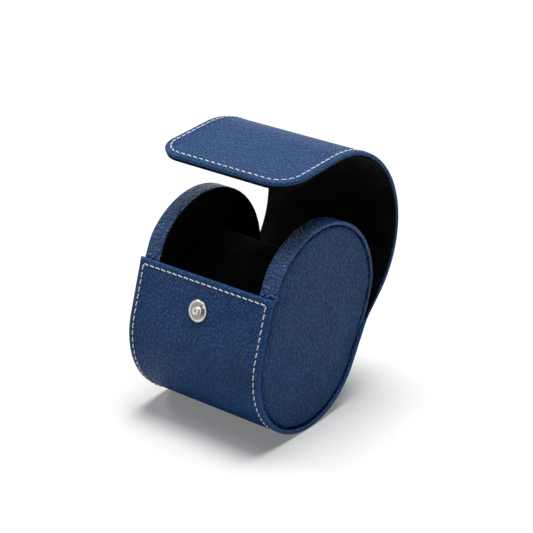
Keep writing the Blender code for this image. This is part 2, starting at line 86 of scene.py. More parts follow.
class CaseSizes(bpy.types.PropertyGroup):
    width: length("Width", "Across the leather strip", 73.0)
    bottom_radius: length("Bottom radius", "Of the round that the case stands on", 36.4)
    top_radius: length("Top radius", "Of the cheeks' round top", 38.6)
    centre_rise: length("Centre rise", "From the bottom round's centre to the top round's", 21.3)
    front_rise: length("Front rise", "Front panel's edge above the bottom round's centre", 25.7)
    lean: angle("Lean", "How far the open case leans back", 17.5)
    edge: length("Edge", "Thickness of the body's turned edge", 1.85)
    leather: length("Leather", "Thickness of the leather", 0.7)
    turn: length("Turn-in", "Leather turned in over the board's edge", 3.4)
    turn_rise: length("Turn-in rise", "The turned-in leather above the board", 0.08)
    outer_round: length("Outer round", "Round of the turned edge, outside", 0.6)
    inner_round: length("Inner round", "Round of the turned edge, inside", 0.35)


class LidSizes(bpy.types.PropertyGroup):
    hinge_strip: length("Hinge strip", "Bare leather between the back and the lid", 12.0)
    fold: angle("Fold", "From the back panel to the open hinge strip", -16.2)
    fold_ease: length("Fold ease", "How far from its corner the fold starts to round", 3.0)
    hinge_edge: length("Hinge edge", "Thickness of the folded leather in the hinge", 1.2)
    straight: length("Straight", "Flat run before the lid's round", 1.0)
    radius: length("Lid radius", "Of the lid's round, outside", 44.001)
    back_turn: angle("Back turn", "Of the lid's round, to its crown", 89.6)
    front_turn: angle("Front turn", "Of the lid's round, past its crown", 50.0)
    front_straight: length("Front straight", "Flat run from the round to the flap's bend", 13.984)
    flap: length("Flap", "From its bend to its free edge", 20.8)
    corner: length("Flap corner", "Radius of the flap's corners", 13.0)
    edge: length("Edge", "Thickness of the lid's turned edge", 1.65)


class VelvetSizes(bpy.types.PropertyGroup):
    body_half: length("Half width in the body", "Half the lining's width between the cheeks", 27.6)
    lid_half: length("Half width in the lid", "Half the lining's width in the lid", 36.0)
    front_margin: length("Front margin", "Bare leather at the front panel's edge", 0.95)
    lid_margin: length("Lid margin", "Bare leather round the flap's lining", 0.5)
    body_lay: length("Body lay", "From the leather's face in to the body's lining", 2.1)
    body_pile: length("Body pile", "Thickness of the body's lining", 0.8)
    hinge_lay: length("Hinge lay", "From the leather's face in to the hinge's lining", 0.95)
    hinge_pile: length("Hinge pile", "Thickness of the hinge's lining", 0.6)
    lid_lay: length("Lid lay", "From the leather's face in to the lid's lining", 1.9)
    lid_pile: length("Lid pile", "Thickness of the lid's lining", 0.9)
    flap_pile: length("Flap pile", "Thickness of the flap's lining", 1.4)
    flap_rise: length("Flap rise", "How far the lining takes to swell to the flap's thickness", 6.0)
    soft_round: length("Soft round", "Round of the lining's edge", 0.4)


class SewingSizes(bpy.types.PropertyGroup):
    inset: length("Inset", "From the leather's edge in to the row of stitches", 2.6)
    pitch: length("Pitch", "From stitch to stitch", 3.3)
    stitch: length("Stitch", "Length of the thread that shows", 2.75)
    thread: length("Thread", "Thickness of the thread", 0.58)
    lift: length("Lift", "How far a stitch stands above the leather", 0.16)
    slant: angle("Slant", "Of each stitch to its row", 7.0)
    groove: length("Groove", "How far the leather dips along the row", 0.22)


class CheekSizes(bpy.types.PropertyGroup):
    width: length("Width", "Across a cheek's band", 8.6)
    inset: length("Inset", "From the strip's outer face in to the band", 2.15)
    recess: length("Recess", "The band's outer edge inside the strip's", 0.5)
    leather: length("Leather", "Thickness of the band's leather", 0.7)
    turn: length("Turned edge", "Width of the band's turned edge", 0.9)
    bead: length("Bead", "Round of the band's outer edge", 0.42)
    groove: length("Groove", "Between the band and the padded face", 0.6)
    face_rise: length("Face rise", "The padded face's crown above its seat", 2.5)
    face_recess: length("Face recess", "The face's crown inside the strip's edge", 0.1)
    face_leather: length("Face leather", "Thickness of the face's leather", 0.7)
    shoulder: length("Shoulder", "From the face's edge in to its crown", 15.0)
    tuck: length("Tuck", "How much wider the padded face is where the wrap covers the band", 1.45)
    sink: length("Sink", "How far the band's turned edge sinks in the wrap", 2.4)
    tuck_run: length("Tuck run", "Length over which the face widens and the band sinks", 7.0)
    bulge: length("Bulge", "How much fuller the rim is above the wrap", 1.15)
    bulge_start: length("Bulge start", "Along the top round, from the hinge", 9.0)
    bulge_run: length("Bulge run", "Length over which the rim fills out", 12.0)
    bulge_end: length("Bulge end", "Above the front panel's edge", 1.1)
    lining: length("Lining", "Thickness of the velvet inside", 0.6)
    lining_inset: length("Lining inset", "From the strip's outer face in to the velvet", 3.1)


class SnapSizes(bpy.types.PropertyGroup):
    stud_rise: length("Stud rise", "Above the bottom round's centre", 11.3)
    drop: length("Snap drop", "From the flap's bend to the snap", 14.35)
    flange: length("Flange", "Radius of the stud's flange", 4.8)
    rim: length("Rim", "Height of the flange's rim", 0.95)
    rim_width: length("Rim width", "Width of the flange's rim", 0.75)
    dish: length("Dish", "Height of the flange's dish", 0.45)
    neck: length("Neck", "Radius of the stud's neck", 1.5)
    head: length("Head", "Radius of the stud's head", 1.85)
    lip: length("Lip", "Height of the head's thick end", 0.5)
    height: length("Height", "Of the stud above the leather", 2.3)
    hollow: length("Hollow", "Radius of the stud's hollow", 0.75)
    hollow_depth: length("Hollow depth", "Depth of the stud's hollow", 1.0)
    shank: length("Shank", "Radius of the stud's shank", 1.2)
    eyelet: length("Eyelet", "Radius of the eyelet that clinches the stud", 4.2)
    eyelet_height: length("Eyelet height", "Thickness of the eyelet", 0.6)
    socket: length("Socket", "Radius of the socket", 4.3)
    bore: length("Bore", "Radius of the socket's bore", 2.2)
    socket_height: length("Socket height", "Thickness of the socket", 1.1)
    spring_groove: length("Spring groove", "Depth of the ring spring's groove", 0.7)
    spring_wire: length("Spring wire", "Radius of the ring spring's wire", 0.2)
    gap: length("Gap", "Between pieces that touch", 0.25)
    sides: IntProperty(name="Sides", description="Sides of the round metal", default=72, min=24)


class PillowSizes(bpy.types.PropertyGroup):
    depth: length("Depth", "Front to back", 48.0)
    height: length("Height", "From its foot to its top", 74.0)
    back: length("Back", "Its middle behind the bottom round's centre", 0.8)
    half: length("Half length", "From its middle to an end seam", 26.2)
    foot: length("Foot", "From the bottom round's centre down to the pillow's foot", 33.2)
    cloth: length("Cloth", "Thickness of the velvet", 0.9)
    crown: length("End crown", "How far an end stands out of its seam", 1.4)
    seam: length("Seam draw", "How far the end seams draw the cover in", 2.4)
    gather: length("Gather", "Depth of the gathers at the end seams", 0.32)
    swell: length("Swell", "How far the stuffing may push the velvet", 0.9)


class Finishes(bpy.types.PropertyGroup):
    leather: colour("Leather", "Dyed leather", (0.0145, 0.07, 0.212))
    velvet: colour("Velvet", "Pile of the linings and the pillow", (0.0036, 0.0036, 0.0046))
    thread: colour("Thread", "Sewing thread", (0.86, 0.88, 0.9))
    nickel: colour("Nickel", "Plated snap", (0.66, 0.635, 0.59))
    wire: colour("Wire", "Spring wire", (0.6, 0.6, 0.6))
    board: colour("Board", "Grey board", (0.33, 0.29, 0.24))
    foam: colour("Foam", "Open-cell foam", (0.55, 0.53, 0.48))
    backdrop: colour("Backdrop", "Floor and background", (0.68, 0.68, 0.68))
    pebble: length("Pebble", "Size of the strip's grain", 1.4)
    face_pebble: length("Face pebble", "Size of the grain on the cheeks' faces", 1.26)
    band_pebble: length("Band pebble", "Size of the grain on the cheeks' bands", 1.9)


# The case's side view

def outward(heading):
    return Vector((math.sin(heading), -math.cos(heading)))


def ahead(heading):
    return Vector((math.cos(heading), math.sin(heading)))


def smooth(share):
    share = min(1.0, max(0.0, share))
    return share * share * (3 - 2 * share)


def step(point, heading, run, turn, along):
    """Where a straight or round run has come to after a length along it."""
    if not turn:
        return point + along * ahead(heading), heading
    end = heading + turn * along / run
    return point + run / turn * (outward(end) - outward(heading)), end


class Section:
    """The strip's route from the front panel's edge to the flap's, and the cheeks' oval, seen from the side.
    Lengths along it are the flat leather's own."""

    def __init__(self, scene):
        case, lid = scene.case_sizes, scene.lid_sizes
        self.lid = lid
        shift = case.top_radius - case.bottom_radius
        span = math.hypot(shift, case.centre_rise)
        back_normal = math.atan2(case.centre_rise, shift) - math.acos(-shift / span)
        self.bottom_turn = math.pi + back_normal
        self.top_turn = math.pi - back_normal
        self.top_centre = Vector((shift, case.centre_rise))
        self.back = math.sqrt(span ** 2 - shift ** 2)
        bottom = case.bottom_radius * self.bottom_turn
        ease = lid.fold_ease
        fold = abs(lid.fold) * ease / math.tan(abs(lid.fold) / 2)
        runs = [(case.front_rise, 0), (bottom, self.bottom_turn), (self.back - ease, 0), (fold, lid.fold),
                (lid.hinge_strip - ease + lid.straight, 0), (lid.radius * lid.back_turn, lid.back_turn),
                (lid.radius * lid.front_turn, lid.front_turn), (lid.front_straight + lid.flap, 0)]
        self.runs = []
        along, point, heading = 0.0, Vector((-case.bottom_radius, case.front_rise)), -math.pi / 2
        for run, turn in runs:
            self.runs.append((along, point, heading, run, turn))
            point, heading = step(point, heading, run, turn, run)
            along += run
        self.end = along
        self.hinge = case.front_rise + bottom + self.back
        self.knuckle = self.hinge + lid.hinge_strip
        self.crown = self.knuckle + lid.straight + lid.radius * lid.back_turn
        self.bend = self.end - lid.flap
        corner = self.runs[2][1] + self.back * ahead(self.runs[2][2])
        lean = Matrix.Rotation(-case.lean, 4, "X")
        hinge = Vector(next(j for j in frame["joints"] if j["name"] == "strip_bend")["pos_m"])
        self.stand = Matrix.Translation(hinge - lean @ Vector((0, *corner))) @ lean

    def place(self, along):
        """Point (Y, Z) and heading at a length along the strip."""
        start, *run = next((r for r in reversed(self.runs) if r[0] <= along), self.runs[0])
        return step(*run, along - start)

    def world(self, x, along, depth):
        point, heading = self.place(along)
        return self.stand @ Vector((x, *(point - depth * outward(heading))))

    def seat(self, along):
        """A seat on the middle of the strip's outer face, with its Z pointing out."""
        point, heading = self.place(along)
        across, up = Vector((1, 0, 0)), Vector((0, *outward(heading)))
        turn = Matrix((across, up.cross(across), up)).transposed()
        return self.stand @ Matrix.Translation((0, *point)) @ turn.to_4x4()

    def between(self, along, body, hinge, lid):
        """A value of the body, the hinge strip or the lid, eased from one to the next."""
        ease = 3 * MM
        at_hinge = smooth((along - self.hinge + ease) / ease)
        return body + (hinge - body) * at_hinge + (lid - hinge) * smooth((along - self.knuckle) / ease)

    def stretches(self):
        """Each stretch: name, start, end, the bodies that carry it, and its bend's middle and reach."""
        half_strip, lead, past_end = self.lid.hinge_strip / 2, 7 * MM, 1.0
        fold_reach, crown_reach, bend_reach = half_strip - 1 * MM, 12 * MM, 6 * MM
        cuts = (-past_end, self.hinge - half_strip, self.hinge + half_strip, self.knuckle + half_strip,
                self.bend - lead, self.end + past_end)
        carried = (("body", ("case",), 0, 0),
                   ("back_fold", ("case", "hinge_strip"), self.hinge, fold_reach),
                   ("lid_fold", ("hinge_strip", "lid_back"), self.knuckle, fold_reach),
                   ("lid", ("lid_back", "lid_front"), self.crown, crown_reach),
                   ("flap", ("lid_front", "flap"), self.bend, bend_reach))
        return [(name, start, end, *rest) for (name, *rest), start, end in zip(carried, cuts, cuts[1:])]

    def carry(self, piece, stretch):
        bodies, middle, reach = stretch[3:]
        if len(bodies) == 1:
            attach(piece, bodies[0])
        else:
            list(bodies)
            self.world(0, middle - reach, 0)
            self.world(0, middle + reach, 0)
            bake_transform(piece)


# Modelling

def kept(found, kind):
    return [part for part in found if isinstance(part, kind)]


def bisect(bm, point, normal, clear=False):
    return bmesh.ops.bisect_plane(bm, geom=bm.verts[:] + bm.edges[:] + bm.faces[:], dist=WELD, plane_co=point,
                                  plane_no=normal, clear_outer=clear)["geom_cut"]


def bevel(bm, parts, offset, segments, affect="VERTICES"):
    bmesh.ops.bevel(bm, geom=parts, offset=offset, offset_type="OFFSET", segments=segments, profile=0.5,
                    affect=affect, material=-1)


def extrude(bm, face, vec=None, keep=False):
    """Extrudes a face and returns the new one; the old one goes unless it stays as a cap."""
    found = bmesh.ops.extrude_face_region(bm, geom=[face])["geom"]
    if not keep:
        bm.faces.remove(face)
    face = kept(found, bmesh.types.BMFace)[0]
    if vec:
        bmesh.ops.translate(bm, verts=face.verts, vec=vec)
    return face


def tube(depth, height, half, rings, sides):
    """A closed tube of rings along X, and its two end faces."""
    bm = bmesh.new()
    shape = Matrix.Diagonal((1, depth / 2, height / 2, 1)) @ Matrix.Rotation(math.pi / 2, 4, "Y")
    bmesh.ops.create_circle(bm, cap_ends=True, radius=1.0, segments=sides,
                            matrix=Matrix.Translation((-half, 0, 0)) @ shape)
    first = face = bm.faces[:][0]
    for ring in range(rings):
        face = extrude(bm, face, (2 * half / rings, 0, 0), keep=ring == 0)
    return bm, first, face


def to_mesh(bm, name):
    mesh = bpy.data.meshes.new(name)
    bm.to_mesh(mesh)
    bm.free()
    return mesh


def add_object(name, data):
    made = bpy.data.objects.new(name, data)
    bpy.context.scene.collection.objects.link(made)
    return made


def finish(bm, name, look):
    """Makes a closed bmesh a named piece, with its faces pointing out."""
    bmesh.ops.recalc_face_normals(bm, faces=bm.faces)
    if bm.calc_volume(signed=True) < 0:
        bmesh.ops.reverse_faces(bm, faces=bm.faces)
    mesh = to_mesh(bm, name)
    mesh.materials.append(bpy.data.materials[look])
    mesh.shade_smooth()
    mesh.set_sharp_from_angle(angle=SHARP)
    piece = add_object(name, mesh)
    return piece


def all_at(verts, depth):
    return all(abs(v.co.z - depth) < WELD for v in verts)


def flat_sheet(outline, round_corners, corner, thickness, outer, inner, pocket=None):
    """A sheet laid flat, X across, Y along and Z into the case, with rounded edges and an open pocket."""
    bm = bmesh.new()
    verts = [bm.verts.new((x, along, 0)) for x, along in outline]
    bm.faces.new(verts)
    bevel(bm, [verts[i] for i in round_corners], corner, 18)
    extrude(bm, bm.faces[:][0], (0, 0, thickness), keep=True)
    for depth, offset, segments in ((0, outer, 4), (thickness, inner, 3)):
        if offset:
            rim = [e for e in bm.edges if all_at(e.verts, depth) and len(e.link_faces) == 2
                   and not all(all_at(f.verts, depth) for f in e.link_faces)]
            bevel(bm, rim, offset, segments, "EDGES")
    if pocket:
        wall, floor = pocket
        face = max((f for f in bm.faces if all_at(f.verts, thickness)), key=lambda f: f.calc_area())
        bmesh.ops.inset_region(bm, faces=[face], thickness=wall - inner, use_even_offset=True)
        extrude(bm, face, (0, 0, floor - thickness))
    return bm


def pierce(bm, along, radius, quarter=8):
    """Opens a round hole through a flat sheet, on its middle line."""
    around, sides, rings = radius + 0.5 * MM, 4 * quarter, []
    for way in (Vector((0, 1, 0)), Vector((1, 0, 0))):
        for side in (-around, around):
            bisect(bm, Vector((0, along, 0)) + side * way, way)
    bm.normal_update()
    squares = [f for f in bm.faces if abs(f.normal.z) > 0.9
               and (f.calc_center_median().xy - Vector((0, along))).length < 0.1 * MM]
    turns = [math.tau * i / sides - 0.75 * math.pi for i in range(sides)]
    for square in squares:
        depth = square.calc_center_median().z
        corners = sorted(square.verts, key=lambda v: math.atan2(v.co.y - along, v.co.x))
        bmesh.ops.delete(bm, geom=[square], context="FACES_ONLY")
        ring = [bm.verts.new((radius * math.cos(t), along + radius * math.sin(t), depth)) for t in turns]
        for i in range(sides):
            bm.faces.new((corners[(i + quarter // 2) // quarter % 4], ring[i], ring[(i + 1) % sides]))
        for i in range(4):
            bm.faces.new((corners[i], corners[(i + 1) % 4], ring[i * quarter + quarter // 2]))
        rings.append(ring)
    for i in range(sides):
        j = (i + 1) % sides
        bm.faces.new((rings[0][i], rings[0][j], rings[1][j], rings[1][i]))


def strip_pieces(section, flat, look, depth_at, names):
    """Cuts a flat sheet into stretches, bends each onto the route and lets it replace its solid."""
    reach = [v.co.y for v in flat.verts]
    low, high = min(reach), max(reach)
    steps = math.ceil((high - low) / STATION)
    for i in range(1, steps):
        bisect(flat, (0, low + (high - low) * i / steps, 0), (0, 1, 0))
    for stretch, (name, node_name) in zip(section.stretches(), names):
        bm = flat.copy()
        for along, side in ((stretch[1], -1), (stretch[2], 1)):
            if low < along < high:
                cut = bisect(bm, (0, along, 0), (0, side, 0), clear=True)
                bmesh.ops.edgeloop_fill(bm, edges=kept(cut, bmesh.types.BMEdge))
        lay = bm.verts.layers.float_vector.new("lay")
        for vert in bm.verts:
            vert[lay] = vert.co
            x, along, depth = vert.co
            vert.co = section.world(x, along, depth_at(along, depth))
        piece = finish(bm, name, look)
        section.carry(piece, stretch)
        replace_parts(piece, node_name)
    flat.free()


def turned(seat, profile, sides, rounding):
    """Spins a profile of (radius, height) a full turn about the seat's Z."""
    bm = bmesh.new()
    verts = [bm.verts.new((radius, 0, height)) for radius, height in profile]
    for pair in zip(verts, verts[1:]):
        bm.edges.new(pair)
    if profile[0][0] and profile[-1][0]:
        bm.edges.new((verts[-1], verts[0]))
    bevel(bm, [v for v in verts if len(v.link_edges) == 2], rounding, 2)
    bmesh.ops.spin(bm, geom=bm.verts[:] + bm.edges[:], cent=(0, 0, 0), axis=(0, 0, 1), angle=2 * math.pi,
                   steps=sides, use_merge=True)
    bmesh.ops.remove_doubles(bm, verts=bm.verts, dist=WELD)
    bmesh.ops.transform(bm, matrix=seat, verts=bm.verts)
    return bm


# Materials

def wire(inputs, sources):
    """Gives inputs a value or another node's output."""
    for key, value in sources.items():
        if isinstance(value, bpy.types.NodeSocket):
            value.id_data.links.new(value, inputs[key])
        else:
            inputs[key].default_value = value


def node(kind, sources=None, tree=None, **settings):
    """Adds a shader node to a tree, or else to its sources' tree."""
    sources = sources or {}
    tree = tree or next(s.id_data for s in sources.values() if isinstance(s, bpy.types.NodeSocket))
    made = tree.nodes.new("ShaderNode" + kind)
    for key, value in settings.items():
        setattr(made, key, value)
    wire(made.inputs, sources)
    return made


def maths(operation, *values):
    return node("Math", dict(enumerate(values)), operation=operation).outputs[0]


add, less, times, larger = (partial(maths, name) for name in ("ADD", "SUBTRACT", "MULTIPLY", "MAXIMUM"))


def vector(operation, *values, **scale):
    made = node("VectorMath", {**dict(enumerate(values)), **scale}, operation=operation)
    return made.outputs["Value" if operation in ("LENGTH", "DOT_PRODUCT") else "Vector"]


def ramp(value, low, high, start=0.0, end=1.0):
    """Eases from start to end as the value goes from low to high."""
    return node("MapRange", {"Value": value, "From Min": low, "From Max": high, "To Min": start,
                             "To Max": end}, interpolation_type="SMOOTHSTEP").outputs["Result"]


def noise(place, scale, detail, distortion=0.0, output="Fac"):
    return node("TexNoise", {"Vector": place, "Scale": scale, "Detail": detail,
                             "Distortion": distortion}).outputs[output]


def cells(place, scale):
    return node("TexVoronoi", {"Vector": place, "Scale": scale}).outputs["Distance"]


def placed(name, sources):
    return node("Group", sources, node_tree=bpy.data.node_groups[name]).outputs


def node_group(name, inputs, outputs):
    """A new node group that takes a vector and some floats, and gives floats."""
    tree = bpy.data.node_groups.new(name, "ShaderNodeTree")
    tree.interface.new_socket("Vector", in_out="INPUT", socket_type="NodeSocketVector")
    for label, default in inputs.items():
        made = tree.interface.new_socket(label, in_out="INPUT", socket_type="NodeSocketFloat")
        made.default_value = default
    for label in outputs:
        tree.interface.new_socket(label, in_out="OUTPUT", socket_type="NodeSocketFloat")
    return tree.nodes.new("NodeGroupInput").outputs, tree.nodes.new("NodeGroupOutput").inputs


def lay_of(tree):
    """The flat leather's own coordinates: X across, Y along the strip."""
    return node("Attribute", tree=tree, attribute_name="lay").outputs["Vector"]


def object_place(tree):
    return node("TexCoord", tree=tree).outputs["Object"]


def shade(rgb, factor):
    return (*[min(1.0, c * factor) for c in rgb], 1.0)


def tinted(rgb, first, *tones):
    """A colour in tones laid over each other: the first's brightness, then (share, brightness) of each."""
    surface_colour = shade(rgb, first)
    for share, factor in tones:
        surface_colour = node("Mix", {0: share, 6: surface_colour, 7: shade(rgb, factor)}, data_type="RGBA").outputs[2]
    return surface_colour


def new_look(name):
    look = bpy.data.materials.new(name)
    look.use_nodes = True
    return look


def dress(look, surface_colour, rough, height, strength, distance, **constants):
    """Wires a look's colour, roughness and relief, and sets its constants."""
    shader = look.node_tree.nodes["Principled BSDF"].inputs
    normal = node("Bump", {"Height": height, "Strength": strength, "Distance": distance}).outputs["Normal"]
    constants = {key.replace("_", " "): value for key, value in constants.items()}
    wire(shader, {"Base Color": surface_colour, "Roughness": rough, "Normal": normal, **constants})
    if "Coat Weight" in constants:
        wire(shader, {"Coat Normal": normal})
    return look


def make_pebble_group():
    """Pebbled grain: rounded cells with creases between them, pores, and a slow mottle."""
    given, out = node_group("Pebble grain", {"Cell": 0.001, "Warp": 0.5, "Wrinkle": 0.0},
                            ("Height", "Crease", "Mottle"))
    place = vector("SCALE", given["Vector"], Scale=maths("DIVIDE", 1.0, given["Cell"]))
    rows, squeeze = (0.303, 0.808, 0.505), 0.36
    along_rows = vector("SCALE", rows, Scale=vector("DOT_PRODUCT", place, rows))
    place = vector("SUBTRACT", place, vector("SCALE", along_rows, Scale=squeeze))
    drift = vector("SUBTRACT", noise(place, 0.8, 2.0, output="Color"), (0.5, 0.5, 0.5))
    bent = vector("ADD", place, vector("SCALE", drift, Scale=given["Warp"]))
    even = {"Vector": bent, "Scale": 1.0, "Randomness": 0.85}
    domes = node("TexVoronoi", {**even, "Smoothness": 0.25}, feature="SMOOTH_F1").outputs["Distance"]
    edges = node("TexVoronoi", even, feature="DISTANCE_TO_EDGE").outputs["Distance"]
    crease = ramp(edges, 0.0, 0.2, 1.0, 0.0)
    pleats = noise(vector("MULTIPLY", place, (0.22, 1.0, 1.0)), 0.9, 2.0, 0.6)
    height = add(times(ramp(domes, 0.1, 0.75, 1.0, 0.0), 0.62), times(less(1.0, crease), 0.3))
    height = less(height, times(cells(bent, 2.7), 0.08))
    height = add(height, times(noise(place, 5.0, 3.0), 0.07))
    wire(out, {"Height": add(height, times(ramp(pleats, 0.35, 0.62), given["Wrinkle"])), "Crease": crease,
               "Mottle": noise(given["Vector"], 95.0, 3.0)})


def make_sewing_group():
    """How near a point of the flat strip is to the rows of stitches, and to the leather's edge."""
    given, out = node_group("Sewn edge", {"Half Width": 0.0365, "Length": 0.3, "Corner": 0.013,
                                          "Inset": 0.0026, "Groove": 0.0008}, ("Row", "Edge"))
    parts = node("SeparateXYZ", {"Vector": given["Vector"]}).outputs
    across = less(maths("ABSOLUTE", parts["X"]), less(given["Half Width"], given["Corner"]))
    along = less(parts["Y"], less(given["Length"], given["Corner"]))
    corner = node("CombineXYZ", {"X": larger(across, 0.0), "Y": larger(along, 0.0)}).outputs[0]
    inside = maths("MINIMUM", larger(across, along), 0.0)
    out_by = less(add(vector("LENGTH", corner), inside), given["Corner"])
    to_edge = larger(out_by, times(parts["Y"], -1.0))
    row = maths("ABSOLUTE", add(to_edge, given["Inset"]))
    wire(out, {"Row": ramp(row, 0.0, given["Groove"], 1.0, 0.0), "Edge": ramp(to_edge, -0.0011, -0.0003)})


def make_fibre_group():
    """Short pile: fine fibres, and slow patches where it has been brushed, which the velvet paints with a
    lighter sheen.
    """
    given, out = node_group("Pile", {"Fibre": 0.0003}, ("Height", "Brushed sheen"))
    place = vector("SCALE", given["Vector"], Scale=maths("DIVIDE", 1.0, given["Fibre"]))
    wire(out, {"Height": noise(place, 1.0, 3.0),
               "Brushed sheen": ramp(noise(given["Vector"], 60.0, 2.0, 0.8), 0.35, 0.7)})


def leather_look(name, scene, place, cell, wrinkle=0.0, sewn=False, relief=0.8, gloss=0.17, polish=0.13):
    """Dyed, pebbled leather with painted light: painted shade in its grain's hollows, creases and stitch
    rows, and painted highlight on its pebbles' tops and turned edge. place gives its coordinates, cell its
    grain's size.
    """
    look = new_look(name)
    where = place(look.node_tree)
    grain = placed("Pebble grain", {"Vector": where, "Cell": cell, "Wrinkle": wrinkle, "Warp": 0.75})
    height = grain["Height"]
    # The mottle is the leather's own uneven tone. The other tones are painted light: painted shade in the
    # grain's hollows, a painted highlight on the pebbles' tops, and painted shade in the creases.
    tones = [(ramp(grain["Mottle"], 0.3, 0.72), 1.16), (ramp(height, 0.25, 0.7, 0.3, 0.0), 0.4),
             (ramp(height, 0.5, 1.0, 0.0, 0.45), 1.4), (times(grain["Crease"], 0.4), 0.36)]
    if sewn:
        sewing = scene.sewing_sizes
        edge = placed("Sewn edge", {
            "Vector": where, "Half Width": scene.case_sizes.width / 2, "Length": Section(scene).end,
            "Corner": scene.lid_sizes.corner, "Inset": sewing.inset, "Groove": 1.0 * MM})
        height = times(height, less(1.0, times(edge["Edge"], 0.75)))
        height = less(height, times(edge["Row"], sewing.groove / (relief * MM)))
        # Painted highlight along the leather's turned edge, and painted shade in the groove along the stitch
        # rows.
        tones += [(times(edge["Edge"], 0.14), 1.7), (times(edge["Row"], 0.25), 0.5)]
    dress(look, tinted(scene.finishes.leather, 0.84, *tones), ramp(height, 0.2, 0.95, 0.62, 0.4), height,
          1.0, relief * MM, Specular_IOR_Level=0.06, Coat_Weight=gloss, Coat_Roughness=polish)


def velvet_look(name, scene, place):
    look = new_look(name)
    pile = placed("Pile", {"Vector": place(look.node_tree), "Fibre": 0.28 * MM})
    # Painted sheen: the brushed patches are painted lighter. Painted shade darkens the pile's hollows between
    # its fibres.
    surface_colour = tinted(scene.finishes.velvet, 0.75, (pile["Brushed sheen"], 1.7),
                 (ramp(pile["Height"], 0.35, 0.7, 0.35, 0.0), 0.0))
    dress(look, surface_colour, ramp(pile["Brushed sheen"], 0.0, 1.0, 0.95, 0.8), pile["Height"], 0.7, 0.15 * MM,
          Specular_IOR_Level=0.04, Sheen_Weight=0.02, Sheen_Roughness=0.45)


def thread_look(scene):
    """Two-ply thread; its own coordinates run along the stitch and round it."""
    look = new_look("Sewing thread")
    own = node("Attribute", tree=look.node_tree, attribute_name="ply").outputs["Vector"]
    parts = node("SeparateXYZ", {"Vector": own}).outputs
    turns = add(times(parts["X"], 5200.0), parts["Y"])
    ply = maths("MULTIPLY_ADD", maths("SINE", turns), 0.5, 0.5)
    fuzz = noise(object_place(look.node_tree), 5200.0, 2.0)
    # Painted shade in the grooves between the two plies: the thread is painted darker where the plies meet.
    dress(look, tinted(scene.finishes.thread, 0.7, (ramp(ply, 0.0, 0.6), 1.0)),
          ramp(fuzz, 0.3, 0.7, 0.75, 0.6), add(ply, times(fuzz, 0.4)), 0.6, 0.07 * MM)


def metal_look(name, rgb, rough, seat=None, dish=(0, 0)):
    """Plated metal with a little tarnish and soft scuffs, and a painted dark reflection and shade in the dish
    round the seat's axis.
    """
    look = new_look(name)
    place = object_place(look.node_tree)
    scuffs = noise(vector("MULTIPLY", place, (1, 6, 1)), 1500.0, 2.0)
    tones = [(ramp(noise(place, 420.0, 3.0), 0.4, 0.75), 0.82)]
    if seat:
        from_seat = vector("SUBTRACT", place, tuple(seat.translation))
        radius = vector("LENGTH", vector("CROSS_PRODUCT", from_seat, tuple(seat.col[2].xyz)))
        # Painted reflection and shade: the dish between the stud's head and its rim is painted darker.
        dish_dark_reflection = times(ramp(radius, dish[0] - 0.2 * MM, dish[0] + 0.3 * MM),
                     ramp(radius, dish[1] - 0.5 * MM, dish[1], 1.0, 0.0))
        tones.append((times(dish_dark_reflection, 0.75), 0.3))
    return dress(look, tinted(rgb, 1.0, *tones), ramp(scuffs, 0.35, 0.75, rough, rough + 0.12), scuffs, 0.12,
                 0.02 * MM, Metallic=1.0)


def board_look(scene):
    look = new_look("Grey board")
    place = object_place(look.node_tree)
    fibres = noise(vector("MULTIPLY", place, (1, 3, 3)), 700.0, 4.0)
    surface_colour = tinted(scene.finishes.board, 0.8, (ramp(fibres, 0.35, 0.65), 1.2),
                 (ramp(cells(place, 900.0), 0.05, 0.18, 0.5, 0.0), 0.45))
    return dress(look, surface_colour, ramp(fibres, 0.3, 0.7, 0.92, 0.8), fibres, 0.4, 0.05 * MM)


def foam_look(scene):
    look = new_look("Open-cell foam")
    holes = cells(object_place(look.node_tree), 1400.0)
    # Painted shade in the foam's holes: each hole is painted darker towards its middle.
    return dress(look, tinted(scene.finishes.foam, 0.6, (ramp(holes, 0.1, 0.6), 1.1)),
                 ramp(holes, 0.1, 0.6, 0.95, 0.85), holes, 0.8, 0.25 * MM)


# The operators

class MakeFinishes(bpy.types.Operator):
    """Make the leather, velvet, thread, metal, board and foam, and give the carried-over solids theirs"""
    bl_idname = "travel_case.finishes"
    bl_label = "Finishes"

    def execute(self, context):
        scene = context.scene
        make_pebble_group()
        make_sewing_group()
        make_fibre_group()
        colours, snap = scene.finishes, scene.snap_sizes
        leather_look("Strip leather", scene, lay_of, colours.pebble, sewn=True)
        leather_look("Cheek leather", scene, object_place, colours.face_pebble, relief=0.9, gloss=0.16)
        leather_look("Band leather", scene, lay_of, colours.band_pebble, wrinkle=0.5, gloss=0.42,
                     polish=0.12)
        velvet_look("Strip velvet", scene, lay_of)
        velvet_look("Cheek velvet", scene, object_place)
        thread_look(scene)
        nickel = metal_look("Nickel plate", colours.nickel, 0.16,
                            Section(scene).seat(scene.case_sizes.front_rise - snap.stud_rise),
                            (snap.head, snap.flange - snap.rim_width))
        spring = metal_look("Spring wire", colours.wire, 0.28)
        board, foam = board_look(scene), foam_look(scene)
        for name, solid in frame["nodes"].items():
            look = (board if name.endswith("board") else foam if name.endswith(("pad", "core"))
                    else spring if name == "socket_spring"
                    else nickel if name.startswith(("snap", "stud", "socket"))
                    else bpy.data.materials["Cheek velvet"] if "lining" in name or "pillow" in name
                    else bpy.data.materials["Cheek leather"])
            solid.data.materials.clear()
            solid.data.materials.append(look)
        return {"FINISHED"}


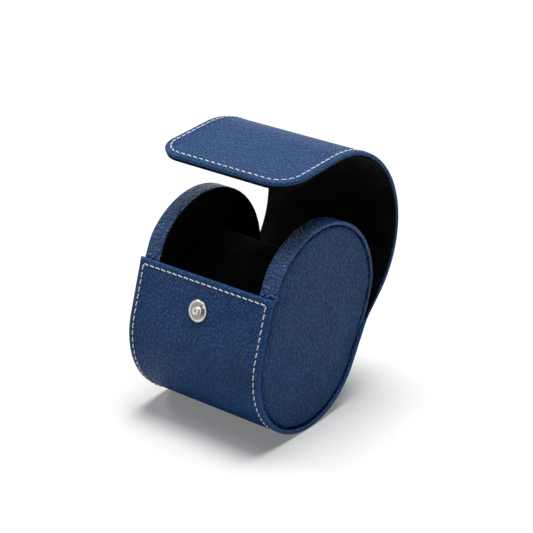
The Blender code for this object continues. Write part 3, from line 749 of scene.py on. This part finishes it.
class MakeLeatherStrip(bpy.types.Operator):
    """Make the one strip of leather that runs down the front, up the back and on over the lid"""
    bl_idname = "travel_case.leather_strip"
    bl_label = "Leather strip"

    def execute(self, context):
        scene = context.scene
        section, case, lid = Section(scene), scene.case_sizes, scene.lid_sizes
        half, end = case.width / 2, section.end
        flat = flat_sheet([(-half, 0), (half, 0), (half, end), (-half, end)], (2, 3), lid.corner,
                          case.edge + case.turn_rise, case.outer_round, case.inner_round,
                          (case.turn, case.leather))

        def depth_at(along, depth):
            if depth <= case.leather:
                return depth
            edge = section.between(along, case.edge, lid.hinge_edge, lid.edge)
            return case.leather + (depth - case.leather) * (edge - case.leather) / (case.edge - case.leather)

        strip_pieces(section, flat, "Strip leather", depth_at, (
            ("body_wrap", "body_leather"), ("back_fold_leather", "hinge_leather"),
            ("lid_fold_leather", "lid_back_leather"), ("lid_crown_leather", "lid_front_leather"),
            ("flap_skin", "flap_leather")))
        return {"FINISHED"}


class MakeVelvetStrip(bpy.types.Operator):
    """Make the black velvet that lines the body, the hinge, the lid and the flap"""
    bl_idname = "travel_case.velvet_strip"
    bl_label = "Velvet lining"

    def execute(self, context):
        scene = context.scene
        section, velvet, snap = Section(scene), scene.velvet_sizes, scene.snap_sizes
        narrow, wide, sheet = velvet.body_half, velvet.lid_half, 1 * MM
        end, hinge, front = section.end - velvet.lid_margin, section.hinge, velvet.front_margin
        outline = [(-narrow, front), (narrow, front), (narrow, hinge), (wide, hinge), (wide, end),
                   (-wide, end), (-wide, hinge), (-narrow, hinge)]
        flat = flat_sheet(outline, (4, 5), scene.lid_sizes.corner - velvet.lid_margin, sheet, 0,
                          velvet.soft_round)
        pierce(flat, scene.case_sizes.front_rise - snap.stud_rise, snap.eyelet + snap.gap)
        pierce(flat, section.bend + snap.drop, snap.socket + snap.gap)

        def depth_at(along, depth):
            lay = section.between(along, velvet.body_lay, velvet.hinge_lay, velvet.lid_lay)
            pile = section.between(along, velvet.body_pile, velvet.hinge_pile, velvet.lid_pile)
            swell = velvet.flap_pile - velvet.lid_pile
            pile += swell * smooth((along - section.bend) / velvet.flap_rise)
            return lay + depth / sheet * pile

        strip_pieces(section, flat, "Strip velvet", depth_at, (
            ("body_velvet", "body_lining"), ("back_fold_velvet", "hinge_lining"),
            ("lid_fold_velvet", "lid_back_lining"), ("lid_crown_velvet", "lid_front_lining"),
            ("flap_velvet", "flap_lining")))
        return {"FINISHED"}


class Sewing:
    """The rows of stitches on the flat strip."""

    def __init__(self, scene, section):
        self.sizes = scene.sewing_sizes
        self.half = scene.case_sizes.width / 2 - self.sizes.inset
        self.end = section.end
        self.corner = scene.lid_sizes.corner
        self.round = self.corner - self.sizes.inset
        side = section.end - self.corner - self.sizes.inset
        flat = 2 * (scene.case_sizes.width / 2 - self.corner)
        self.parts = [side, self.round * math.pi / 2, flat, self.round * math.pi / 2, side]

    def point(self, run):
        """Point (X, along) and heading at a length along the row that runs up, round the flap and back."""
        side, turn, total = self.parts[0], self.parts[1], sum(self.parts)
        if run > total / 2:
            (x, along), heading = self.point(total - run)
            return (-x, along), -heading
        if run < side:
            return (self.half, self.sizes.inset + run), math.pi / 2
        if run < side + turn:
            swing = (run - side) / self.round
            return (self.half - self.round + self.round * math.cos(swing),
                    self.end - self.corner + self.round * math.sin(swing)), math.pi / 2 + swing
        return (self.half - self.round - (run - side - turn), self.end - self.sizes.inset), math.pi

    def places(self):
        """Every stitch's middle and heading."""
        total = sum(self.parts)
        count = round(total / self.sizes.pitch)
        found = [self.point(total * (i + 0.5) / count) for i in range(count)]
        across = round(2 * self.half / self.sizes.pitch)
        return found + [((-self.half + 2 * self.half * (i + 0.5) / across, self.sizes.inset), 0.0)
                        for i in range(across)]

    def stitch(self):
        """One stitch: a tube that rises out of the leather, runs along it and dips back in."""
        sizes, flatness = self.sizes, 0.8
        bm = tube(sizes.thread, sizes.thread, sizes.stitch / 2, rings=8, sides=8)[0]
        ply = bm.verts.layers.float_vector.new("ply")
        for vert in bm.verts:
            share = abs(vert.co.x) / (sizes.stitch / 2)
            vert[ply] = (vert.co.x, math.atan2(vert.co.z, vert.co.y), 0)
            slim = 1 - 0.55 * share ** 6
            dip = sizes.thread * 0.75 * share ** 5
            vert.co.y *= slim
            vert.co.z = vert.co.z * slim * flatness + dip - sizes.lift
        return to_mesh(bm, "stitch")


class MakeSewing(bpy.types.Operator):
    """Sew the white rows along both sides of the strip, across the front panel and round the flap"""
    bl_idname = "travel_case.sewing"
    bl_label = "Sewing"

    def execute(self, context):
        section = Section(context.scene)
        sewing = Sewing(context.scene, section)
        stitch, places = sewing.stitch(), sewing.places()
        for stretch in section.stretches():
            bm = bmesh.new()
            for (x, along), heading in places:
                if not stretch[1] <= along < stretch[2]:
                    continue
                before = len(bm.verts)
                bm.from_mesh(stitch)
                bm.verts.ensure_lookup_table()
                turn = Matrix.Rotation(heading + sewing.sizes.slant, 4, "Z")
                bmesh.ops.transform(bm, matrix=Matrix.Translation((x, along, 0)) @ turn,
                                    verts=bm.verts[before:])
            for vert in bm.verts:
                vert.co = section.world(*vert.co)
            section.carry(finish(bm, stretch[0] + "_stitches", "Sewing thread"), stretch)
        bpy.data.meshes.remove(stitch)
        return {"FINISHED"}


class Oval:
    """The cheeks' outline, and where a point near it lies along the rim."""

    def __init__(self, scene):
        self.section = Section(scene)
        self.case, self.cheek = scene.case_sizes, scene.cheek_sizes
        self.hinge = self.case.bottom_radius * self.section.bottom_turn + self.section.back
        top = self.case.top_radius
        bare = top * math.asin((self.case.front_rise - self.case.centre_rise) / top)
        self.round_end = self.hinge + top * self.section.top_turn
        self.front = self.round_end - bare - self.cheek.bulge_end

    def along(self, y, z):
        """Length along the rim from the front's foot, the heading there, and how far in the point lies."""
        radius, turn, top = self.case.bottom_radius, self.section.bottom_turn, self.section.top_centre
        low = math.atan2(-z, -y) % (2 * math.pi)
        if low <= turn:
            return low * radius, low - math.pi / 2, radius - math.hypot(y, z)
        high = math.atan2(top.y - z, top.x - y) % (2 * math.pi)
        if high >= turn:
            return (self.hinge + (high - turn) * self.case.top_radius, high - math.pi / 2,
                    self.case.top_radius - math.hypot(y - top.x, z - top.y))
        if y > 0:
            heading, point = turn - math.pi / 2, Vector((y, z))
            run = (point - radius * outward(heading)).dot(ahead(heading))
            return radius * turn + run, heading, radius - point.dot(outward(heading))
        return self.round_end + self.case.centre_rise - z, -math.pi / 2, radius + y

    def sweep(self, bm, verts, edges):
        """Carries a section at the front's foot round the whole oval."""
        section = self.section
        up_back = section.back * ahead(section.bottom_turn - math.pi / 2)
        for centre, way in ((Vector((0, 0)), section.bottom_turn), (None, (0, *up_back)),
                            (section.top_centre, section.top_turn), (None, (0, 0, -self.case.centre_rise))):
            if centre is not None:
                found = bmesh.ops.spin(bm, geom=verts + edges, cent=(0, *centre), axis=(1, 0, 0), angle=way,
                                       steps=round(way / FACET))["geom_last"]
            elif edges:
                found = bmesh.ops.extrude_edge_only(bm, edges=edges)["geom"]
            else:
                found = bmesh.ops.extrude_vert_indiv(bm, verts=verts)["verts"]
            verts, edges = kept(found, bmesh.types.BMVert), kept(found, bmesh.types.BMEdge)
            if centre is None:
                bmesh.ops.translate(bm, verts=verts, vec=way)
        bmesh.ops.remove_doubles(bm, verts=bm.verts, dist=0.02 * MM)

    def in_wrap(self, along):
        """0 above the wrap and 1 well inside it."""
        panel, lead, run = self.front + self.cheek.bulge_end, 2 * MM, self.cheek.tuck_run
        return max(smooth((self.hinge - lead - along) / run), smooth((along - panel) / run))

    def fill_out(self, bm, sink=0.0):
        """Stores each point's place along the rim, and lets the rim bulge above the wrap."""
        lay = bm.verts.layers.float_vector.new("lay")
        cheek, inner = self.cheek, self.case.width / 2 - self.cheek.width
        for vert in bm.verts:
            x, y, z = vert.co
            along, heading, _ = self.along(y, z)
            out = outward(heading)
            vert[lay] = (x, along, Vector((y, z)).dot(out))
            share = (smooth((along - self.hinge - cheek.bulge_start) / cheek.bulge_run)
                     * smooth((self.front - along) / cheek.bulge_run))
            vert.co.x -= sink * self.in_wrap(along) * (x - inner) / (cheek.width - cheek.recess)
            vert.co += cheek.bulge * share * Vector((0, *out))

    def widen(self, bm, rim):
        """Lets a padded face, whose rim is that far in, reach further out where the wrap holds it."""
        for vert in bm.verts:
            along, heading, depth = self.along(vert.co.y, vert.co.z)
            share = smooth(1 - (depth - rim) / self.cheek.shoulder) * self.in_wrap(along)
            vert.co += self.cheek.tuck * share * Vector((0, *outward(heading)))

    def disc(self, inset, x):
        """The oval's face at one X, drawn in by an inset."""
        bm = bmesh.new()
        self.sweep(bm, [bm.verts.new((x, -self.case.bottom_radius + inset, 0))], [])
        self.fill_out(bm)
        bmesh.ops.edgeloop_fill(bm, edges=bm.edges[:])
        return bm

    def finish(self, bm, name, look, slot):
        if name.startswith("left"):
            bmesh.ops.scale(bm, vec=(-1, 1, 1), verts=bm.verts)
        bmesh.ops.transform(bm, matrix=self.section.stand, verts=bm.verts)
        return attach(finish(bm, name, look), "case")


class MakeCheeks(bpy.types.Operator):
    """Make the two thick cheeks: a leather band with a bead, a padded leather face and a velvet inside"""
    bl_idname = "travel_case.cheeks"
    bl_label = "Cheeks"

    def execute(self, context):
        oval = Oval(context.scene)
        for side in ("left", "right"):
            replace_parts(self.band(oval, side), side + "_cheek_band")
            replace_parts(self.face(oval, side), side + "_cheek_face")
            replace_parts(self.lining(oval, side), side + "_cheek_lining")
        return {"FINISHED"}

    def band(self, oval, side):
        """The rim: leather up the outside, turned in over the edge as a bead."""
        case, cheek = oval.case, oval.cheek
        outer, inner = case.width / 2 - cheek.recess, case.width / 2 - cheek.width
        wall, lip = cheek.leather, cheek.leather + cheek.turn
        floor = case.width / 2 - cheek.face_recess - cheek.face_rise
        under, below = lip + cheek.groove + 0.7 * MM, floor - 0.28 * MM
        corners = [(inner, 0), (outer, 0), (outer, lip), (floor, lip), (floor, under), (below, under),
                   (below, wall), (inner, wall)]
        bm = bmesh.new()
        verts = [bm.verts.new((x, cheek.inset - case.bottom_radius + inset, 0)) for x, inset in corners]
        for pair in zip(verts, verts[1:] + verts[:1]):
            bm.edges.new(pair)
        for vert, radius in ((verts[1], cheek.bead), (verts[2], cheek.bead), (verts[0], 0.2 * MM)):
            bevel(bm, [vert], radius, 5)
        longest = [e for e in bm.edges if e.calc_length() > cheek.width / 2]
        bmesh.ops.subdivide_edges(bm, edges=longest, cuts=4)
        oval.sweep(bm, bm.verts[:], bm.edges[:])
        oval.fill_out(bm, sink=cheek.sink)
        return oval.finish(bm, side + "_band_leather", "Band leather", "leather")

    def face(self, oval, side):
        """The padded face: steep at its edge, then crowned, with its own thickness of leather."""
        cheek = oval.cheek
        rim = cheek.inset + cheek.leather + cheek.turn + cheek.groove
        bm = oval.disc(rim, oval.case.width / 2 - cheek.face_recess - cheek.face_rise)
        disc = extrude(bm, bm.faces[:][0])
        rises = [0.0, 0.3, 0.5, 0.62, 0.72, 0.79, 0.84, 0.885, 0.92, 0.95, 0.972, 0.988, 0.997, 1.0]
        insets = [0.0, 0.004, 0.02, 0.042, 0.075, 0.115, 0.165, 0.23, 0.31, 0.41, 0.53, 0.67, 0.83, 1.0]
        for start, end, low, high in zip(insets, insets[1:], rises, rises[1:]):
            bmesh.ops.inset_region(bm, faces=[disc], thickness=(end - start) * cheek.shoulder,
                                   use_even_offset=True)
            bmesh.ops.translate(bm, verts=disc.verts, vec=((high - low) * cheek.face_rise, 0, 0))
        bmesh.ops.remove_doubles(bm, verts=bm.verts, dist=WELD)
        oval.widen(bm, rim)
        bmesh.ops.recalc_face_normals(bm, faces=bm.faces)
        if disc.normal.x < 0:
            bmesh.ops.reverse_faces(bm, faces=bm.faces)
        bmesh.ops.solidify(bm, geom=bm.faces[:], thickness=cheek.face_leather * 0.85)
        piece = oval.finish(bm, side + "_padded_face", "Cheek leather", "leather")
        return piece

    def lining(self, oval, side):
        cheek, inner = oval.cheek, oval.case.width / 2 - oval.cheek.width
        bm = oval.disc(cheek.lining_inset, inner + cheek.lining)
        extrude(bm, bm.faces[:][0], (-cheek.lining, 0, 0), keep=True)
        rim = [e for e in bm.edges if all(abs(v.co.x - inner) < WELD for v in e.verts)]
        bevel(bm, rim, 0.35 * MM, 3, "EDGES")
        return oval.finish(bm, side + "_cheek_velvet", "Cheek velvet", "velvet")


class MakeSnap(bpy.types.Operator):
    """Turn the nickel stud and its eyelet, and the socket in the flap"""
    bl_idname = "travel_case.snap"
    bl_label = "Snap"

    def execute(self, context):
        scene = context.scene
        section, snap, case, lid = Section(scene), scene.snap_sizes, scene.case_sizes, scene.lid_sizes
        fine, ease = 0.12 * MM, 0.25 * MM

        def metal(name, seat, profile, rounding=0.05 * MM):
            return finish(turned(seat, profile, snap.sides, rounding), name, "Nickel plate")

        seat = section.seat(case.front_rise - snap.stud_rise)
        hollow, low_lip = snap.height - snap.hollow_depth, snap.height - snap.lip
        dish_end, shank_end = snap.flange - snap.rim_width, -case.edge + snap.gap
        stud = [(0, hollow), (snap.hollow - fine, hollow), (snap.hollow, snap.height - fine),
                (snap.neck - ease, snap.height), (snap.head - fine, snap.height - fine), (snap.head, low_lip),
                (snap.neck, low_lip - ease), (snap.neck, snap.rim), (snap.neck + ease, snap.dish + fine),
                (snap.head + ease, snap.dish), ((snap.head + snap.flange) / 2, snap.dish + fine),
                (dish_end, snap.rim - fine), (snap.flange - snap.rim_width / 2, snap.rim),
                (snap.flange, snap.rim - ease), (snap.flange, snap.gap), (snap.shank, snap.gap),
                (snap.shank, shank_end), (0, shank_end)]
        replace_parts(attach(metal("stud_nickel", seat, stud), "case"), "snap_stud")

        top = -case.edge - snap.gap
        low = top - snap.eyelet_height
        eyelet = [(0, top), (snap.eyelet, top), (snap.eyelet, low + ease), (snap.eyelet - ease, low),
                  (snap.shank + 0.3 * MM, low), (snap.shank, low + ease), (0, low + ease)]
        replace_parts(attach(metal("eyelet_nickel", seat, eyelet, 0.06 * MM), "case"), "stud_eyelet")

        top = -lid.edge - snap.gap
        low = top - snap.socket_height
        middle, half = (top + low) / 2, snap.spring_wire + snap.gap / 2
        groove = snap.bore + snap.spring_groove
        socket = [(snap.bore, top), (snap.socket, top), (snap.socket, low + ease), (snap.socket - ease, low),
                  (snap.bore + fine, low), (snap.bore, low + fine), (snap.bore, middle - half),
                  (groove, middle - half), (groove, middle + half), (snap.bore, middle + half)]
        seat = section.seat(section.bend + snap.drop)
        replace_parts(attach(metal("socket_nickel", seat, socket), "flap"), "snap_socket")
        return {"FINISHED"}


class MakePillow(bpy.types.Operator):
    """Sew and stuff the velvet pillow: a cover drawn in at its two end seams, with crowned ends"""
    bl_idname = "travel_case.pillow"
    bl_label = "Pillow"

    def execute(self, context):
        scene = context.scene
        self.part(scene, self.stuffed(scene, scene.pillow_sizes), scene.pillow_sizes)
        return {"FINISHED"}

    def stuffed(self, scene, pillow):
        """The closed form, blown up a little by a cloth simulation at ten times its size."""
        enlarged, cap_rings, draw_run = 10.0, 10, 5.5 * MM
        gather_start, gather_end, off_seam = 1.5 * MM, 9 * MM, 0.3 * MM
        bm, *caps = tube(pillow.depth, pillow.height, pillow.half, rings=26, sides=96)
        for cap in caps:
            for ring in range(cap_rings, 1, -1):
                cap = extrude(bm, cap)
                bmesh.ops.scale(bm, verts=cap.verts, vec=(1, (ring - 1) / ring, (ring - 1) / ring))
        for vert in bm.verts:
            to_seam = pillow.half - abs(vert.co.x)
            span = math.hypot(vert.co.y / (pillow.depth / 2), vert.co.z / (pillow.height / 2))
            draw = pillow.seam * (1 - smooth(to_seam / draw_run)) ** 1.6
            vert.co.y *= 1 - draw / (pillow.depth / 2)
            vert.co.z *= 1 - draw / (pillow.height / 2)
            if to_seam < WELD:
                vert.co.x += math.copysign(pillow.crown * 0.55 * smooth((1 - span) / 0.35), vert.co.x)
        bmesh.ops.recalc_face_normals(bm, faces=bm.faces)
        bmesh.ops.scale(bm, verts=bm.verts, vec=(enlarged,) * 3)
        mesh = to_mesh(bm, "pillow_form")
        body = add_object("pillow_form", mesh)
        rest = [v.co.copy() for v in mesh.vertices]
        self.blow_up(scene, body, pillow, enlarged)
        limit = pillow.swell * enlarged
        for vert, old in zip(mesh.vertices, rest):
            moved = vert.co - old
            if moved.length > limit:
                vert.co = old + moved.normalized() * limit
        mesh.transform(Matrix.Scale(1 / enlarged, 4))
        for vert in mesh.vertices:
            x, y, z = vert.co
            to_seam = abs(pillow.half - abs(x))
            turn = math.atan2(z / pillow.height, y / pillow.depth)
            folds = (math.sin(31 * turn + 1.3 * math.copysign(1, x)) + 0.6 * math.sin(47 * turn + 0.7)
                     + 0.4 * math.sin(19 * turn + 2.1))
            fade = (1 - smooth(to_seam / gather_end)) * smooth(to_seam / gather_start)
            if abs(x) < pillow.half - off_seam:
                vert.co += pillow.gather * 0.5 * folds * fade * Vector((0, y, z)).normalized()
        return body

    def blow_up(self, scene, body, pillow, enlarged):
        """Runs the cloth simulation, with the two end seams held still."""
        frames, near, rim_share = 20, 1e-4, 0.9

        def held(place):
            span = math.hypot(place.y / (pillow.depth / 2), place.z / (pillow.height / 2))
            return abs(abs(place.x) - pillow.half * enlarged) < near and span > rim_share * enlarged

        seams = body.vertex_groups.new(name="seams")
        seams.add([v.index for v in body.data.vertices if held(v.co)], 1.0, "REPLACE")
        cloth = body.modifiers.new("stuffing", "CLOTH")
        cloth.settings.use_pressure = True
        cloth.settings.uniform_pressure_force = 4.0
        cloth.settings.vertex_group_mass = seams.name
        cloth.settings.effector_weights.gravity = 0.0
        cloth.point_cache.frame_start, cloth.point_cache.frame_end = 1, frames
        for number in range(1, frames + 1):
            scene.frame_set(number)
        shape = body.evaluated_get(bpy.context.evaluated_depsgraph_get()).to_mesh()
        places = [v.co.copy() for v in shape.vertices]
        body.modifiers.remove(cloth)
        for vert, place in zip(body.data.vertices, places):
            vert.co = place
        scene.frame_set(1)

    def part(self, scene, body, pillow):
        """Cuts the form at its seams into the cover and the two ends, each a closed shell of velvet."""
        lift = pillow.height / 2 - pillow.foot
        seat = Section(scene).stand @ Matrix.Translation((0, pillow.back, lift))

        def in_cap(face, side):
            middle = face.calc_center_median()
            return side * middle.x > pillow.half - 0.2 * MM and abs(face.normal.x) > 0.5

        for name, node_name, side in (("pillow_velvet", "pillow_cover", 0),
                                      ("pillow_left", "pillow_end_left", -1),
                                      ("pillow_right", "pillow_end_right", 1)):
            bm = bmesh.new()
            bm.from_mesh(body.data)
            bm.normal_update()
            out = [f for f in bm.faces if (not in_cap(f, side) if side else in_cap(f, 1) or in_cap(f, -1))]
            bmesh.ops.delete(bm, geom=out, context="FACES")
            bmesh.ops.solidify(bm, geom=bm.faces[:], thickness=pillow.cloth)
            bmesh.ops.translate(bm, verts=bm.verts, vec=(side * 0.12 * MM, 0, 0))
            bmesh.ops.transform(bm, matrix=seat, verts=bm.verts)
            piece = finish(bm, name, "Cheek velvet")
            round_off = piece.modifiers.new("round off", "SUBSURF")
            round_off.levels = round_off.render_levels = 1
            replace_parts(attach(piece, "case"), node_name)
        bpy.data.objects.remove(body)


class MakeStage(bpy.types.Operator):
    """Lay the pale floor, hang the soft lights and set up the camera"""
    bl_idname = "travel_case.stage"
    bl_label = "Stage"

    def execute(self, context):
        scene = context.scene
        self.floor(scene)
        self.lights(scene)
        camera = add_object("camera", bpy.data.cameras.new("camera"))
        camera.data.lens, camera.data.sensor_width = 117.05, 36.0
        camera.location = (0.4337, -0.5454, 0.3815)
        self.aim(camera, (-0.565, 0.712, -0.416))
        scene.camera = camera
        scene.view_settings.view_transform = "Standard"
        return {"FINISHED"}

    def aim(self, made, way):
        made.rotation_euler = Vector(way).to_track_quat("-Z", "Y").to_euler()

    def floor(self, scene):
        bm = bmesh.new()
        bmesh.ops.create_grid(bm, x_segments=1, y_segments=1, size=3.0)
        floor = add_object("floor", to_mesh(bm, "floor"))
        look = new_look("Floor paper")
        seen = node("LightPath", tree=look.node_tree).outputs
        glow = times(larger(seen["Is Camera Ray"], seen["Is Transmission Ray"]), 0.18)
        wire(look.node_tree.nodes["Principled BSDF"].inputs, {
            "Base Color": (*scene.finishes.backdrop, 1.0), "Roughness": 0.9, "Specular IOR Level": 0.0,
            "Emission Color": (1, 1, 1, 1), "Emission Strength": glow})
        floor.data.materials.append(look)

    def lights(self, scene):
        world = bpy.data.worlds.new("world")
        world.use_nodes = True
        seen = node("LightPath", tree=world.node_tree).outputs
        white = larger(seen["Is Camera Ray"], larger(seen["Is Glossy Ray"], seen["Is Transmission Ray"]))
        wire(world.node_tree.nodes["Background"].inputs, {"Color": (1, 1, 1, 1),
                                                          "Strength": larger(white, 0.05)})
        scene.world = world
        for name, place, spread, level in (("softbox", (-0.03, 0.14, 0.98), 34.0, 1.2),
                                           ("key", (-0.68, -0.16, 0.73), 18.0, 0.16)):
            lamp = add_object(name, bpy.data.lights.new(name, "SUN"))
            lamp.data.energy, lamp.data.angle = level * math.pi, math.radians(spread)
            lamp.location = place
            self.aim(lamp, -Vector(place))


class TravelCasePanel(bpy.types.Panel):
    bl_label = "Travel Case"
    bl_idname = "VIEW3D_PT_travel_case"
    bl_space_type = "VIEW_3D"
    bl_region_type = "UI"
    bl_category = "Travel Case"

    def draw(self, context):
        for operator in OPERATORS:
            self.layout.operator(operator.bl_idname)
        for label in SIZES:
            box = self.layout.box()
            box.label(text=label.replace("_", " ").capitalize())
            group = getattr(context.scene, label)
            for key in group.__annotations__:
                box.prop(group, key)


SIZES = {"case_sizes": CaseSizes, "lid_sizes": LidSizes, "velvet_sizes": VelvetSizes,
         "sewing_sizes": SewingSizes, "cheek_sizes": CheekSizes, "snap_sizes": SnapSizes,
         "pillow_sizes": PillowSizes, "finishes": Finishes}
OPERATORS = (MakeFinishes, MakeLeatherStrip, MakeVelvetStrip, MakeSewing, MakeCheeks, MakeSnap, MakePillow,
             MakeStage)


def register():
    for label, group in SIZES.items():
        bpy.utils.register_class(group)
        setattr(bpy.types.Scene, label, PointerProperty(type=group))
    for operator in OPERATORS:
        bpy.utils.register_class(operator)
    bpy.utils.register_class(TravelCasePanel)


def unregister():
    bpy.utils.unregister_class(TravelCasePanel)
    for operator in reversed(OPERATORS):
        bpy.utils.unregister_class(operator)
    for label, group in SIZES.items():
        delattr(bpy.types.Scene, label)
        bpy.utils.unregister_class(group)


def main():
    register()
    for operator in OPERATORS:
        family, name = operator.bl_idname.split(".")
        getattr(getattr(bpy.ops, family), name)()


if __name__ == "__main__":
    main()
